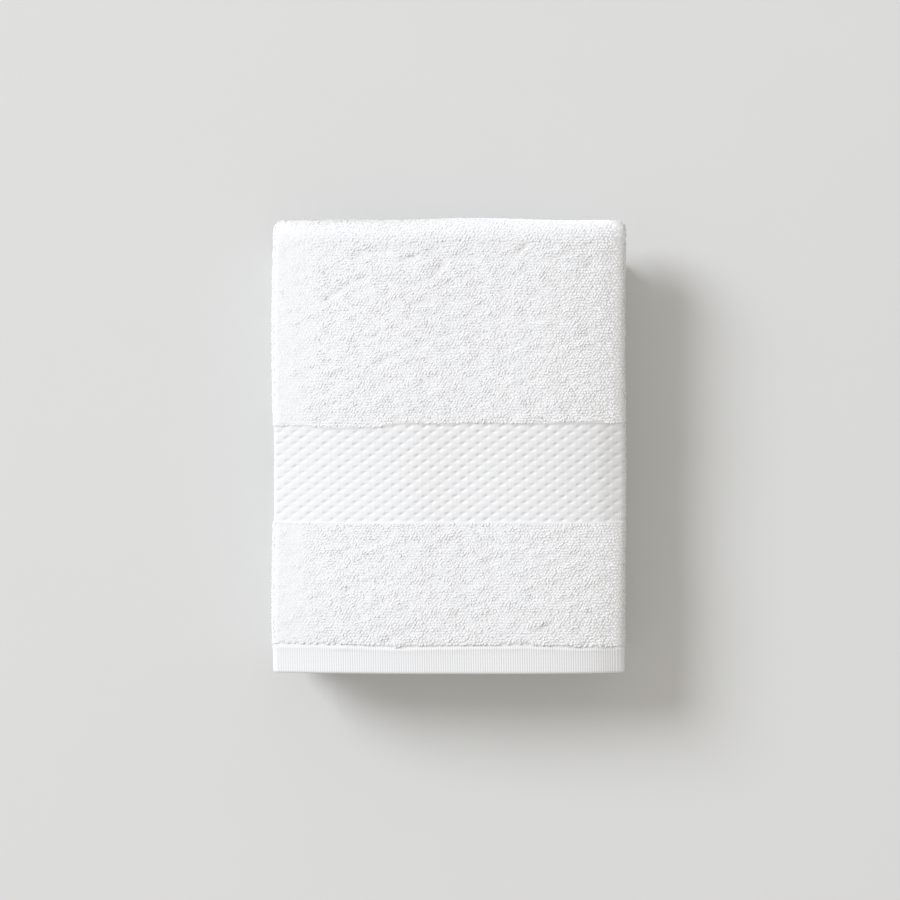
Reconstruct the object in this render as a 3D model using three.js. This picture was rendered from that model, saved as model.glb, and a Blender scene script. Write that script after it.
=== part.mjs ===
// A white terry hand towel, folded in thirds across its width and then in quarters along its length.
// Millimetres, +Z up. The stack rests on z = 0, its hemmed end faces the front (-Y) and the origin is
// the middle of its footprint.
import * as THREE from "three";

// The cloth: one woven piece with loops on both faces, a flat band near each end and turned edges.
const PILE_THICKNESS = 3.2;
const BORDER_THICKNESS = 1.7;
const HEM_THICKNESS = 2.4;
const SELVEDGE_THICKNESS = 2.0;
const SELVEDGE_WIDTH = 8;
const HEM_WIDTH = 10;
const BORDER_FROM_END = 64.5;
const BORDER_WIDTH = 43;
const PILE_SLOPE = 1.2; // length over which the loops rise beside a hem or a band

// The folded stack.
const FOLDED_WIDTH = 153;
const FOLDED_LENGTH = 196;
const LAYER_GAP = 0.4; // between the three layers of the strip
const STRIP_GAP = 0.7; // between the four lengths of the strip
const FRONT_FOLD_RECESS = 3; // the front fold lies this far behind the hemmed edge
const LOWER_BACK_RECESS = 13; // the lower back fold lies this far in front of the upper one
const LOWER_HEM_RECESS = 6;
const INNER_EDGE_CLEARANCE = 0.9; // the tucked-in long edge stops this short of the right-hand fold
const OUTER_EDGE_INSET = 1.8; // the underside long edge stops this short of the left-hand fold
const FOLD_SQUARENESS = 0.9; // pressed outer layers of a fold are squarer than a half circle
const SIDE_FOLD_POWER = 5; // shape of the long folds, where 2 is a half circle and more is squarer
const CORNER_DRAW = 2.6; // the back corners are drawn in by this much
const CORNER_REACH = 6; // over this length
const CORNER_POWER = 2.5; // where 1 is a straight cut and more is rounder
const FLAT_BELOW = 0.2; // the underside lies flat on the surface where it is lower than this

// Steps along each curve.
const LEFT_FOLD_STEPS = 6;
const RIGHT_FOLD_STEPS = 8;
const END_FOLD_STEPS = 10;
const CROWN_MARKS = [-54, -30, 0, 36]; // places across the width that follow the sag
const RUN_STEP = 60; // longest step along a plain straight length
const END_STEP = 13; // longest step near a hemmed end, where the height changes

// Sizes that follow.
const HALF_PILE = PILE_THICKNESS / 2;
const LAYER_PITCH = PILE_THICKNESS + LAYER_GAP;
const STRIP_THICKNESS = 3 * PILE_THICKNESS + 2 * LAYER_GAP;
const STRIP_PITCH = STRIP_THICKNESS + STRIP_GAP;
const STACK_HEIGHT = 3 * STRIP_PITCH + STRIP_THICKNESS;
const HALF_WIDTH = FOLDED_WIDTH / 2;
const HALF_LENGTH = FOLDED_LENGTH / 2;
const LEFT_RADIUS = LAYER_PITCH / 2;
const RIGHT_RADIUS = LAYER_PITCH;
const LEFT_CENTRE = -HALF_WIDTH + LEFT_RADIUS + HALF_PILE;
const RIGHT_CENTRE = HALF_WIDTH - RIGHT_RADIUS - HALF_PILE;
const INNER_EDGE = RIGHT_CENTRE - INNER_EDGE_CLEARANCE;
const OUTER_EDGE = -HALF_WIDTH + OUTER_EDGE_INSET;
const END_RADIUS = STRIP_PITCH / 2;
const END_REACH = END_RADIUS + STRIP_THICKNESS / 2;

const UPPER_BACK = HALF_LENGTH - END_REACH;
const FRONT = -HALF_LENGTH + FRONT_FOLD_RECESS + END_REACH;
const LOWER_BACK = HALF_LENGTH - LOWER_BACK_RECESS - END_REACH;
const LOWER_HEM = -HALF_LENGTH + LOWER_HEM_RECESS;

// The four lengths of the strip from the top down: where each starts and ends along Y, its place in the
// stack, how far it strays sideways, and which of its ends, if any, is a hemmed end of the cloth.
const RUNS = [
  { from: -HALF_LENGTH, to: UPPER_BACK, level: 3, stray: 0, hem: "start" },
  { from: UPPER_BACK, to: FRONT, level: 2, stray: 0.7, hem: "none" },
  { from: FRONT, to: LOWER_BACK, level: 1, stray: -0.7, hem: "none" },
  { from: LOWER_BACK, to: LOWER_HEM, level: 0, stray: 0.4, hem: "end" },
];

// Thickness of the cloth against the distance from a hemmed end.
const BORDER_END = BORDER_FROM_END + BORDER_WIDTH;
const END_PROFILE = [
  { at: 0, thickness: HEM_THICKNESS },
  { at: HEM_WIDTH, thickness: HEM_THICKNESS },
  { at: HEM_WIDTH + PILE_SLOPE, thickness: PILE_THICKNESS },
  { at: BORDER_FROM_END - PILE_SLOPE, thickness: PILE_THICKNESS },
  { at: BORDER_FROM_END, thickness: BORDER_THICKNESS },
  { at: BORDER_END, thickness: BORDER_THICKNESS },
  { at: BORDER_END + PILE_SLOPE, thickness: PILE_THICKNESS },
];

// The stack is fullest in the middle and falls away to its long edges: which side, the share of the half
// width at which the fall starts, the drop at the edge, and how late the fall comes.
const SAGS = [
  { side: -1, start: 0.15, drop: 7.5, power: 1.6 },
  { side: 1, start: 0, drop: 7.5, power: 4 },
  { side: 1, start: 0.85, drop: 1.2, power: 1 },
];

// Thin layers settle onto each other: each dip is centred at a distance from the hemmed end, fades out
// over its reach, and lowers the top of the strip by its drop.
const DIPS = [
  { at: 0, reach: 34, drop: 1.8 },
  { at: BORDER_FROM_END + BORDER_WIDTH / 2, reach: 42, drop: 1.2 },
];

const lerp = THREE.MathUtils.lerp;
const clamp = THREE.MathUtils.clamp;

// Evenly spaced values from a to b, both included, no further apart than the longest step.
function spread(a, b, longest) {
  const count = Math.max(1, Math.ceil(Math.abs(b - a) / longest));
  return Array.from({ length: count + 1 }, (_, i) => lerp(a, b, i / count));
}

// The strip's section: the middle line of the cloth across its width. It starts at the long edge on the
// underside, turns up round the right-hand fold, crosses the top, turns down round the left-hand fold
// and ends at the long edge tucked between the other two layers. Each point has its place x and its
// height n from the strip's middle, the direction (dx, dn) to the cloth's right-hand face, and the most
// that the cloth can be thick there.
function stripSection() {
  const points = [];
  const layer = (stops, n) => {
    const side = Math.sign(stops.at(-1).x - stops[0].x);
    stops.forEach(({ x, most }) => points.push({ x, n, dx: 0, dn: -side, most }));
  };
  const fold = (x, n, radius, start, steps) => {
    for (let i = 1; i < steps; i++) {
      const angle = start + (Math.PI * i) / steps;
      const [across, up] = [Math.cos(angle), Math.sin(angle)];
      const power = SIDE_FOLD_POWER;
      const roundness = (Math.abs(across) ** power + Math.abs(up) ** power) ** (1 / power);
      const dx = across / roundness;
      const dn = up / roundness;
      points.push({ x: x + radius * dx, n: n + radius * dn, dx, dn, most: PILE_THICKNESS });
    }
  };
  const pile = (x) => ({ x, most: PILE_THICKNESS });
  const selvedge = (x) => ({ x, most: SELVEDGE_THICKNESS });
  const outerTurn = OUTER_EDGE + SELVEDGE_WIDTH;
  const innerTurn = INNER_EDGE - SELVEDGE_WIDTH;
  const marks = [...CROWN_MARKS, innerTurn - PILE_SLOPE].map(pile);
  const underside = [selvedge(OUTER_EDGE), selvedge(outerTurn), pile(outerTurn + PILE_SLOPE), ...marks];
  const tucked = [...marks, selvedge(innerTurn), selvedge(INNER_EDGE)];
  layer([...underside, pile(RIGHT_CENTRE)], -LAYER_PITCH);
  fold(RIGHT_CENTRE, 0, RIGHT_RADIUS, -Math.PI / 2, RIGHT_FOLD_STEPS);
  layer([pile(RIGHT_CENTRE), ...marks.toReversed(), pile(LEFT_CENTRE)], LAYER_PITCH);
  fold(LEFT_CENTRE, LEFT_RADIUS, LEFT_RADIUS, Math.PI / 2, LEFT_FOLD_STEPS);
  layer([pile(LEFT_CENTRE), ...tucked], 0);
  return points;
}

// The strip's outline at one thickness of cloth, once round: the right-hand face, then the other back.
function sectionOutline(section, thickness) {
  const face = (side) =>
    section.map(({ x, n, dx, dn, most }) => {
      const half = (side * Math.min(thickness, most)) / 2;
      return { x: x + dx * half, n: n + dn * half };
    });
  return [...face(1), ...face(-1).reverse()];
}

// How much of its full height the strip keeps at a distance from the hemmed end.
function keptHeight(fromEnd) {
  const lost = DIPS.map(({ at, reach, drop }) => {
    const away = clamp(Math.abs(fromEnd - at) / reach, 0, 1);
    return (drop * (1 + Math.cos(Math.PI * away))) / 2;
  });
  return 1 - lost.reduce((sum, drop) => sum + drop, 0) / STRIP_THICKNESS;
}

// Steps from a hemmed end to the far end of its run, with the cloth's thickness and the strip's height.
function endStations(length) {
  const rows = [...END_PROFILE, { at: length, thickness: PILE_THICKNESS }];
  const stations = [{ at: 0, thickness: rows[0].thickness }];
  for (let i = 0; i + 1 < rows.length; i++) {
    const [a, b] = [rows[i], rows[i + 1]];
    const longest = i + 1 < END_PROFILE.length ? END_STEP : RUN_STEP;
    for (const at of spread(a.at, b.at, longest).slice(1)) {
      const share = (at - a.at) / (b.at - a.at);
      stations.push({ at, thickness: lerp(a.thickness, b.thickness, share) });
    }
  }
  return stations.map((station) => ({ ...station, kept: keptHeight(station.at) }));
}

// Distances from the start of a run at which its section is placed.
function runStations({ from, to, hem }) {
  const length = Math.abs(to - from);
  if (hem === "start") return endStations(length);
  if (hem === "end") {
    return endStations(length)
      .map((station) => ({ ...station, at: length - station.at }))
      .reverse();
  }
  return spread(0, length, RUN_STEP).map((at) => ({ at, thickness: PILE_THICKNESS, kept: 1 }));
}

// Lowest and middle height of a length of the strip.
function levelBase(level) {
  return level * STRIP_PITCH;
}

function levelMiddle(level) {
  return levelBase(level) + STRIP_THICKNESS / 2;
}

// The stack settles: its long edges sag, in proportion to the height above the surface, its back corners
// draw in and its underside lies flat.
function settle(x, y, z) {
  const drops = SAGS.map(({ side, start, drop, power }) => {
    const inside = ((side * x) / HALF_WIDTH - start) / (1 - start);
    return drop * Math.max(0, inside) ** power;
  });
  const lost = drops.reduce((sum, drop) => sum + drop, 0);
  const inCorner = clamp((y - HALF_LENGTH) / CORNER_REACH + 1, 0, 1);
  const drawnIn = CORNER_DRAW * inCorner ** CORNER_POWER;
  const height = z * (1 - lost / STACK_HEIGHT);
  return [x * (1 - drawnIn / HALF_WIDTH), y, height < FLAT_BELOW ? 0 : height];
}

// One place along the folded path: a function that carries a point (x, n) of the section to the stack.
function straightPlace(run, { at, kept }) {
  const heading = Math.sign(run.to - run.from);
  const y = run.from + heading * at;
  const base = levelBase(run.level);
  return (x, n) => settle(x + run.stray, y, base + (STRIP_THICKNESS / 2 + heading * n) * kept);
}

function foldPlace(run, next, turn) {
  const heading = Math.sign(run.to - run.from);
  const middle = (levelMiddle(run.level) + levelMiddle(next.level)) / 2;
  const stray = lerp(run.stray, next.stray, turn);
  const along = Math.sin(Math.PI * turn);
  const up = Math.cos(Math.PI * turn);
  return (x, n) => {
    const radius = END_RADIUS + heading * n;
    const power = 2 + (FOLD_SQUARENESS * radius) / END_REACH;
    const roundness = (Math.abs(along) ** power + Math.abs(up) ** power) ** (1 / power);
    const reach = radius / roundness;
    return settle(x + stray, run.to + heading * reach * along, middle + reach * up);
  };
}

// Every section of the cloth in order along the folded path, as rings of points.
function clothRings() {
  const section = stripSection();
  const rings = [];
  const addRing = (place, thickness) => {
    const outline = sectionOutline(section, thickness);
    rings.push(outline.map(({ x, n }) => place(x, n)));
  };
  RUNS.forEach((run, i) => {
    for (const station of runStations(run)) addRing(straightPlace(run, station), station.thickness);
    const next = RUNS[i + 1];
    if (!next) return;
    for (let step = 1; step < END_FOLD_STEPS; step++) {
      addRing(foldPlace(run, next, step / END_FOLD_STEPS), PILE_THICKNESS);
    }
  });
  return rings;
}

// A closed surface over the rings, with the two hemmed ends covered across the cloth's thickness.
function clothGeometry(rings) {
  const around = rings[0].length;
  const indices = [];
  const quad = (a, b, c, d) => indices.push(a, b, c, a, c, d);
  for (let ring = 0; ring + 1 < rings.length; ring++) {
    for (let i = 0; i < around; i++) {
      const here = ring * around;
      const there = here + around;
      const next = (i + 1) % around;
      quad(here + i, there + i, there + next, here + next);
    }
  }
  const last = (rings.length - 1) * around;
  for (let i = 0; i + 1 < around / 2; i++) {
    const across = around - 1 - i;
    quad(i, i + 1, across - 1, across);
    quad(last + i, last + across, last + across - 1, last + i + 1);
  }
  const geometry = new THREE.BufferGeometry();
  geometry.setAttribute("position", new THREE.Float32BufferAttribute(rings.flat(2), 3));
  geometry.setIndex(indices);
  geometry.computeVertexNormals();
  return geometry;
}

const whiteCotton = new THREE.MeshStandardMaterial({
  color: 0xf0efee,
  roughness: 0.95,
  metalness: 0,
});

const towel = new THREE.Mesh(clothGeometry(clothRings()), whiteCotton);
towel.name = "towel";

const handTowel = new THREE.Group();
handTowel.name = "hand_towel";
handTowel.add(towel);

export default handTowel;
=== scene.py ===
"""A folded white terry hand towel: its cloth, loops, woven border, hem and stitches, in a plain studio."""

import logging
import math
from dataclasses import dataclass, field
from enum import Enum
from typing import Any

import bmesh
import bpy
import numpy as np
from mathutils import Matrix, Vector


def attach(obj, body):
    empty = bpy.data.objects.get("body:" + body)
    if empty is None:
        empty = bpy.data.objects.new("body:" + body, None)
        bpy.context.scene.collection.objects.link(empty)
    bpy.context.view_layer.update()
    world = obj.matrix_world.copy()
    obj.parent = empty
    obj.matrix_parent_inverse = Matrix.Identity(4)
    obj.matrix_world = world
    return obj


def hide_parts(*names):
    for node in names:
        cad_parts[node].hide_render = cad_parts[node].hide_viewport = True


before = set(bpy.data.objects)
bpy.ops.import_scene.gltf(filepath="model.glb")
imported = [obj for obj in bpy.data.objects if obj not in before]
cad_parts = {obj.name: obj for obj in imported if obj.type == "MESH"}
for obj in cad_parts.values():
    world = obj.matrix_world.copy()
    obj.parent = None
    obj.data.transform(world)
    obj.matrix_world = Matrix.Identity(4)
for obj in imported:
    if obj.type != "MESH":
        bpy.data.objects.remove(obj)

Array = np.ndarray
MM = 0.001
FRAME_PIXELS = 900
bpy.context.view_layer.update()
CAD_NODE = "towel"
BODY = "root"

logging.basicConfig(level=logging.INFO, format="%(message)s")
log = logging.getLogger("towel")


# Fold of the cloth


class HemEnd(Enum):
    """Which end of a straight run, if any, is a hemmed end of the cloth."""

    START = "start"
    END = "end"
    NONE = "none"


@dataclass(frozen=True)
class Run:
    """One straight length of the folded strip: its ends along Y, level in the stack and sideways stray."""

    start: float
    end: float
    level: int
    stray: float
    hem: HemEnd

    @property
    def heading(self) -> float:
        """1 towards the back, -1 towards the front."""
        return math.copysign(1.0, self.end - self.start)

    @property
    def length(self) -> float:
        """Length of the run."""
        return abs(self.end - self.start)


@dataclass(frozen=True)
class Dip:
    """A place near a hemmed end where thin layers settle: distance from the end, reach and drop."""

    at: float
    reach: float
    drop: float


@dataclass(frozen=True)
class Sag:
    """How the top falls away to one long edge: the side, where it starts, its drop and how late it comes."""

    side: float
    start: float
    drop: float
    power: float

    def at(self, share: Array) -> Array:
        """Drop at places given as shares of the half width."""
        inside = np.maximum((self.side * share - self.start) / (1 - self.start), 0)
        return self.drop * inside**self.power


@dataclass(frozen=True)
class Wave:
    """A gentle wave of the stack's outline: how far it moves, its length and its phase."""

    amount: float
    length: float
    phase: float

    def at(self, place: Array) -> Array:
        """Offset of the wave at places along it."""
        return self.amount * np.sin(2 * math.pi * place / self.length + self.phase)


@dataclass(frozen=True)
class TowelFold:
    """The cloth's sizes and its folded path.

    A point of the cloth has three flat coordinates: across its width from the long edge that lies on the
    underside, along its length from the hem that shows, and out of its face from the middle of its
    thickness. The strip is the cloth folded in thirds, and the stack is the strip folded in quarters.
    """

    pile: float = 3.2 * MM
    border: float = 1.7 * MM
    hem: float = 2.4 * MM
    selvedge: float = 2.0 * MM
    selvedge_width: float = 8 * MM
    hem_width: float = 10 * MM
    stitch_from_end: float = 11.9 * MM
    border_from_end: float = 64.5 * MM
    border_width: float = 43 * MM
    folded_width: float = 153 * MM
    folded_length: float = 196 * MM
    layer_gap: float = 0.4 * MM
    strip_gap: float = 0.7 * MM
    front_fold_recess: float = 3 * MM
    lower_back_recess: float = 13 * MM
    lower_hem_recess: float = 6 * MM
    inner_edge_clearance: float = 0.9 * MM
    outer_edge_inset: float = 1.8 * MM
    sags: tuple[Sag, ...] = (
        Sag(-1, 0.15, 7.5 * MM, 1.6),
        Sag(1, 0.0, 7.5 * MM, 4.0),
        Sag(1, 0.85, 1.2 * MM, 1.0),
    )
    fold_squareness: float = 0.9
    side_fold_power: float = 5.0
    corner_draw: float = 2.6 * MM
    corner_reach: float = 6 * MM
    corner_power: float = 2.5
    back_wave: Wave = Wave(0.45 * MM, 74 * MM, 0.6)
    side_wave: Wave = Wave(0.35 * MM, 118 * MM, 2.1)

    @property
    def layer_pitch(self) -> float:
        """Distance between the middles of two layers of the strip."""
        return self.pile + self.layer_gap

    @property
    def strip(self) -> float:
        """Thickness of the strip of three layers."""
        return 3 * self.pile + 2 * self.layer_gap

    @property
    def strip_pitch(self) -> float:
        """Distance between two lengths of the strip in the stack."""
        return self.strip + self.strip_gap

    @property
    def height(self) -> float:
        """Height of the stack."""
        return 3 * self.strip_pitch + self.strip

    @property
    def left_radius(self) -> float:
        """Radius of the left-hand fold, at the middle of the cloth."""
        return self.layer_pitch / 2

    @property
    def right_radius(self) -> float:
        """Radius of the right-hand fold, at the middle of the cloth."""
        return self.layer_pitch

    @property
    def left_centre(self) -> float:
        """X of the left-hand fold's centre."""
        return -self.folded_width / 2 + self.left_radius + self.pile / 2

    @property
    def right_centre(self) -> float:
        """X of the right-hand fold's centre."""
        return self.folded_width / 2 - self.right_radius - self.pile / 2

    @property
    def outer_edge(self) -> float:
        """X of the long edge on the underside."""
        return -self.folded_width / 2 + self.outer_edge_inset

    @property
    def end_radius(self) -> float:
        """Radius of the folds at the front and back, at the middle of the strip."""
        return self.strip_pitch / 2

    @property
    def end_reach(self) -> float:
        """Radius of those folds at their outer face."""
        return self.end_radius + self.strip / 2

    @property
    def end_arc(self) -> float:
        """Length of cloth that one fold at the front or back takes up."""
        return math.pi * self.end_radius

    @property
    def section_marks(self) -> Array:
        """Distances across the cloth at which its right-hand fold, top, left-hand fold and tuck begin."""
        top = self.right_centre - self.left_centre
        steps = [
            self.right_centre - self.outer_edge,
            math.pi * self.right_radius,
            top,
            math.pi * self.left_radius,
        ]
        return np.cumsum(steps)

    @property
    def flat_width(self) -> float:
        """Width of the cloth laid flat."""
        inner_edge = self.right_centre - self.inner_edge_clearance
        return float(self.section_marks[-1] + inner_edge - self.left_centre)

    @property
    def runs(self) -> tuple[Run, ...]:
        """The four lengths of the strip from the top down."""
        half = self.folded_length / 2
        upper_back = half - self.end_reach
        front = -half + self.front_fold_recess + self.end_reach
        lower_back = half - self.lower_back_recess - self.end_reach
        lower_hem = -half + self.lower_hem_recess
        return (
            Run(-half, upper_back, 3, 0.0, HemEnd.START),
            Run(upper_back, front, 2, 0.7 * MM, HemEnd.NONE),
            Run(front, lower_back, 1, -0.7 * MM, HemEnd.NONE),
            Run(lower_back, lower_hem, 0, 0.4 * MM, HemEnd.END),
        )

    @property
    def run_marks(self) -> list[float]:
        """Distance along the cloth at which each run starts."""
        marks = [0.0]
        for run in self.runs[:-1]:
            marks.append(marks[-1] + run.length + self.end_arc)
        return marks

    @property
    def flat_length(self) -> float:
        """Length of the cloth laid flat, along the middle of the strip."""
        return self.run_marks[-1] + self.runs[-1].length

    @property
    def border_span(self) -> tuple[float, float]:
        """Distances from a hemmed end between which its border lies."""
        return self.border_from_end, self.border_from_end + self.border_width

    @property
    def dips(self) -> tuple[Dip, ...]:
        """Where thin layers settle onto each other."""
        return (
            Dip(0.0, 34 * MM, 1.8 * MM),
            Dip(sum(self.border_span) / 2, 42 * MM, 1.2 * MM),
        )

    def kept_height(self, from_end: Array) -> Array:
        """How much of its height the strip keeps.

        Args:
            from_end: Distances from a hemmed end.

        Returns:
            Shares of the full height.
        """
        lost = np.zeros_like(from_end)
        for dip in self.dips:
            away = np.clip(np.abs(from_end - dip.at) / dip.reach, 0, 1)
            lost += dip.drop * (1 + np.cos(math.pi * away)) / 2
        return 1 - lost / self.strip

    def in_strip(self, across: Array, out: Array) -> tuple[Array, Array]:
        """Folds the cloth in thirds.

        Args:
            across: Distances across the flat cloth.
            out: Distances out of its face.

        Returns:
            X in the strip, and height from the strip's middle.
        """
        marks = self.section_marks
        pitch = self.layer_pitch
        part = np.searchsorted(marks, across, side="right")
        right_x, right_n = self.round_fold(-math.pi / 2 + (across - marks[0]) / self.right_radius)
        left_x, left_n = self.round_fold(math.pi / 2 + (across - marks[2]) / self.left_radius)
        none = np.zeros_like(across)
        aim_x = np.choose(part, [none, right_x, none, left_x, none])
        aim_n = np.choose(part, [none - 1, right_n, none + 1, left_n, none - 1])
        x = np.choose(part, [
            self.outer_edge + across,
            self.right_centre + self.right_radius * right_x,
            self.right_centre - (across - marks[1]),
            self.left_centre + self.left_radius * left_x,
            self.left_centre + (across - marks[3]),
        ])
        n = np.choose(part, [
            none - pitch,
            self.right_radius * right_n,
            none + pitch,
            self.left_radius * (1 + left_n),
            none,
        ])
        return x + aim_x * out, n + aim_n * out

    def round_fold(self, angle: Array) -> tuple[Array, Array]:
        """The way out of a long fold, which is squarer than a half circle.

        Args:
            angle: Angles round the fold.

        Returns:
            X and height of each way, for a fold of radius 1.
        """
        across = np.cos(angle)
        up = np.sin(angle)
        power = self.side_fold_power
        roundness = (np.abs(across) ** power + np.abs(up) ** power) ** (1 / power)
        return across / roundness, up / roundness

    def settled(self, x: Array, y: Array, z: Array) -> Array:
        """Lets the stack sag at its long edges, draw in at its back corners and wander a little in outline.

        Args:
            x: X in the plain stack.
            y: Y in the plain stack.
            z: Z in the plain stack.

        Returns:
            Points, one row each.
        """
        up = z / self.height
        share = 2 * x / self.folded_width
        drop = sum(sag.at(share) for sag in self.sags)
        in_corner = np.clip((y - self.folded_length / 2) / self.corner_reach + 1, 0, 1)
        drawn_in = share * self.corner_draw * in_corner**self.corner_power
        moved_x = x + self.side_wave.at(y) * up - drawn_in
        moved_y = y + self.back_wave.at(x) * up * np.clip(y / self.folded_length + 0.5, 0, 1)
        return np.stack([moved_x, moved_y, z * (1 - drop / self.height)], axis=-1)

    def place(self, across: Array, along: Array, out: Array) -> Array:
        """Folds points of the flat cloth into the stack.

        Args:
            across: Distances across the flat cloth.
            along: Distances along it from the hem that shows.
            out: Distances out of its face.

        Returns:
            Points in the stack, one row each.
        """
        x, n = self.in_strip(across, out)
        y = np.zeros_like(x)
        z = np.zeros_like(x)
        shift = np.zeros_like(x)
        runs = self.runs
        for i, (run, mark) in enumerate(zip(runs, self.run_marks)):
            at = along - mark
            last = i + 1 == len(runs)
            straight = ((at >= 0) | (i == 0)) & ((at <= run.length) | last)
            kept = np.ones_like(at)
            if run.hem is HemEnd.START:
                kept = self.kept_height(at)
            elif run.hem is HemEnd.END:
                kept = self.kept_height(run.length - at)
            base = run.level * self.strip_pitch
            height = base + (self.strip / 2 + run.heading * n) * kept
            y = np.where(straight, run.start + run.heading * at, y)
            z = np.where(straight, height, z)
            shift = np.where(straight, run.stray, shift)
            if last:
                continue
            turn = (at - run.length) / self.end_arc
            folded = (turn > 0) & (turn < 1)
            ahead = np.sin(math.pi * turn)
            up = np.cos(math.pi * turn)
            radius = np.maximum(self.end_radius + run.heading * n, 0.0)
            power = 2 + self.fold_squareness * radius / self.end_reach
            reach = radius / (np.abs(ahead) ** power + np.abs(up) ** power) ** (1 / power)
            middle = base - self.strip_pitch / 2 + self.strip / 2
            y = np.where(folded, run.end + run.heading * reach * ahead, y)
            z = np.where(folded, middle + reach * up, z)
            shift = np.where(folded, run.stray + (runs[i + 1].stray - run.stray) * turn, shift)
        return self.settled(x + shift, y, z)

    def from_nearer_end(self, along: Array) -> Array:
        """Distances from the nearer hemmed end."""
        return np.minimum(along, self.flat_length - along)


# Uneven lines and surfaces


@dataclass(frozen=True)
class SoftNoise:
    """Smooth seeded unevenness over the flat cloth, made of a few plane waves, about one unit deep."""

    seed: int
    scale: float
    waves: int = 28
    shortest: float = 0.6
    longest: float = 1.8

    def at(self, across: Array, along: Array) -> Array:
        """Value of the unevenness.

        Args:
            across: Distances across the flat cloth.
            along: Distances along it.

        Returns:
            Values with a spread of about one.
        """
        draw = np.random.default_rng(self.seed)
        angles = draw.uniform(0, 2 * math.pi, self.waves)
        lengths = self.scale * draw.uniform(self.shortest, self.longest, self.waves)
        phases = draw.uniform(0, 2 * math.pi, self.waves)
        total = np.zeros_like(across)
        for angle, length, phase in zip(angles, lengths, phases):
            travel = across * math.cos(angle) + along * math.sin(angle)
            total += np.cos(2 * math.pi * travel / length + phase)
        return total / math.sqrt(self.waves / 2)


@dataclass(frozen=True)
class WaveringLine:
    """A woven or sewn line across the top that wavers: rows of X and of how far it strays from straight."""

    rows: tuple[tuple[float, float], ...]

    def at(self, x: Array) -> Array:
        """Stray of the line, towards the back, at places across the top."""
        places = np.array([row[0] for row in self.rows]) * MM
        strays = np.array([row[1] for row in self.rows]) * MM
        return np.interp(x, places, strays)


@dataclass(frozen=True)
class Parting:
    """A soft trough where the loops part, in millimetres and degrees on the top face.

    It has the place of its middle, its length, its turn from X, its width and its depth.
    """

    x: float
    y: float
    length: float
    turn: float
    width: float
    depth: float

    def offsets(self, x: Array, y: Array) -> tuple[Array, Array]:
        """Places measured along and across the trough.

        Args:
            x: X of places on the top.
            y: Y of places on the top.

        Returns:
            Shares of its half length and of its half width.
        """
        angle = math.radians(self.turn)
        dx = x / MM - self.x
        dy = y / MM - self.y
        ahead = dx * math.cos(angle) + dy * math.sin(angle)
        aside = dy * math.cos(angle) - dx * math.sin(angle)
        return 2 * ahead / self.length, 2 * aside / self.width

    def share(self, x: Array, y: Array) -> Array:
        """How far inside the trough places are, from 0 to 1."""
        ahead, aside = self.offsets(x, y)
        return np.exp(-(aside**2) - np.abs(ahead) ** 4)


# The lines where the pile overhangs the border's back and front edges, and the hem's stitch line.
BORDER_EDGE = WaveringLine((
    (-76, -0.6), (-64, -0.7), (-51, -1.8), (-31, -1.0), (-20, 0.8), (-5, 0.2),
    (-3, -0.5), (7, 0.6), (29, 0.2), (51, 1.0), (69, 0.6), (76, 0.4),
))
LOWER_EDGE = WaveringLine(((-76, 0.2), (-50, -0.4), (-22, 0.3), (8, -0.3), (35, 0.4), (60, -0.2), (76, 0.1)))
STITCH_LINE = WaveringLine((
    (-76, 0.5), (-68, 0.65), (-42, 0.4), (-23, -0.6), (-1, 0.0),
    (31, 0.65), (51, -0.4), (69, -0.8), (76, -0.7),
))
PARTINGS = (
    Parting(0, 82, 134, 0, 9, 0.22),
    Parting(-33, 82.6, 18, 10, 3.2, 0.5),
    Parting(-17, 80, 8, 22, 2.6, 0.5),
    Parting(-3.6, 75.9, 7, 53, 2.4, 0.45),
    Parting(-48.5, 65.3, 15, 33, 2.8, 0.45),
    Parting(-33.4, 46.1, 7, 22, 2.4, 0.4),
    Parting(-12, 60.6, 10, 8, 2.4, 0.45),
    Parting(31.4, 84.3, 9, 41, 2.4, 0.5),
    Parting(60.2, 77.4, 4, 40, 2.0, 0.4),
    Parting(36.2, 63.6, 4, 8, 2.0, 0.4),
    Parting(-43.5, -62.5, 5, 27, 2.2, 0.4),
    Parting(-34.9, -58.6, 5, 17, 2.2, 0.4),
    Parting(-11.1, -64, 3, 18, 2.0, 0.35),
    Parting(41.6, -77.9, 8, 21, 2.4, 0.45),
)
MOUND_HEIGHT = 0.07 * MM
MOUND_LENGTH = 6 * MM
MOUND_STRETCH = 0.6
MOUND_TURN = math.radians(37)
MOUND_NOISE = SoftNoise(21, MOUND_LENGTH)


def pile_relief(fold: TowelFold, across: Array, along: Array) -> Array:
    """Soft mounds and partings of the pile on the top of the stack.

    Args:
        fold: The fold.
        across: Distances across the flat cloth.
        along: Distances along it.

    Returns:
        Heights from the pile's even face.
    """
    streak = along * math.sin(MOUND_TURN) - across * math.cos(MOUND_TURN)
    beside = along * math.cos(MOUND_TURN) + across * math.sin(MOUND_TURN)
    relief = MOUND_HEIGHT * MOUND_NOISE.at(MOUND_STRETCH * streak, beside)
    top = fold.place(across, along, np.full_like(across, fold.pile / 2))
    for parting in PARTINGS:
        relief -= parting.depth * MM * parting.share(top[:, 0], top[:, 1])
    return relief


def on_top(fold: TowelFold, across: Array, along: Array) -> Array:
    """1 on the top of the stack, or else 0."""
    _, top, left, _ = fold.section_marks
    inside = (across > top) & (across < left) & (along < fold.runs[0].length)
    return inside.astype(float)


# Finishes


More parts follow.
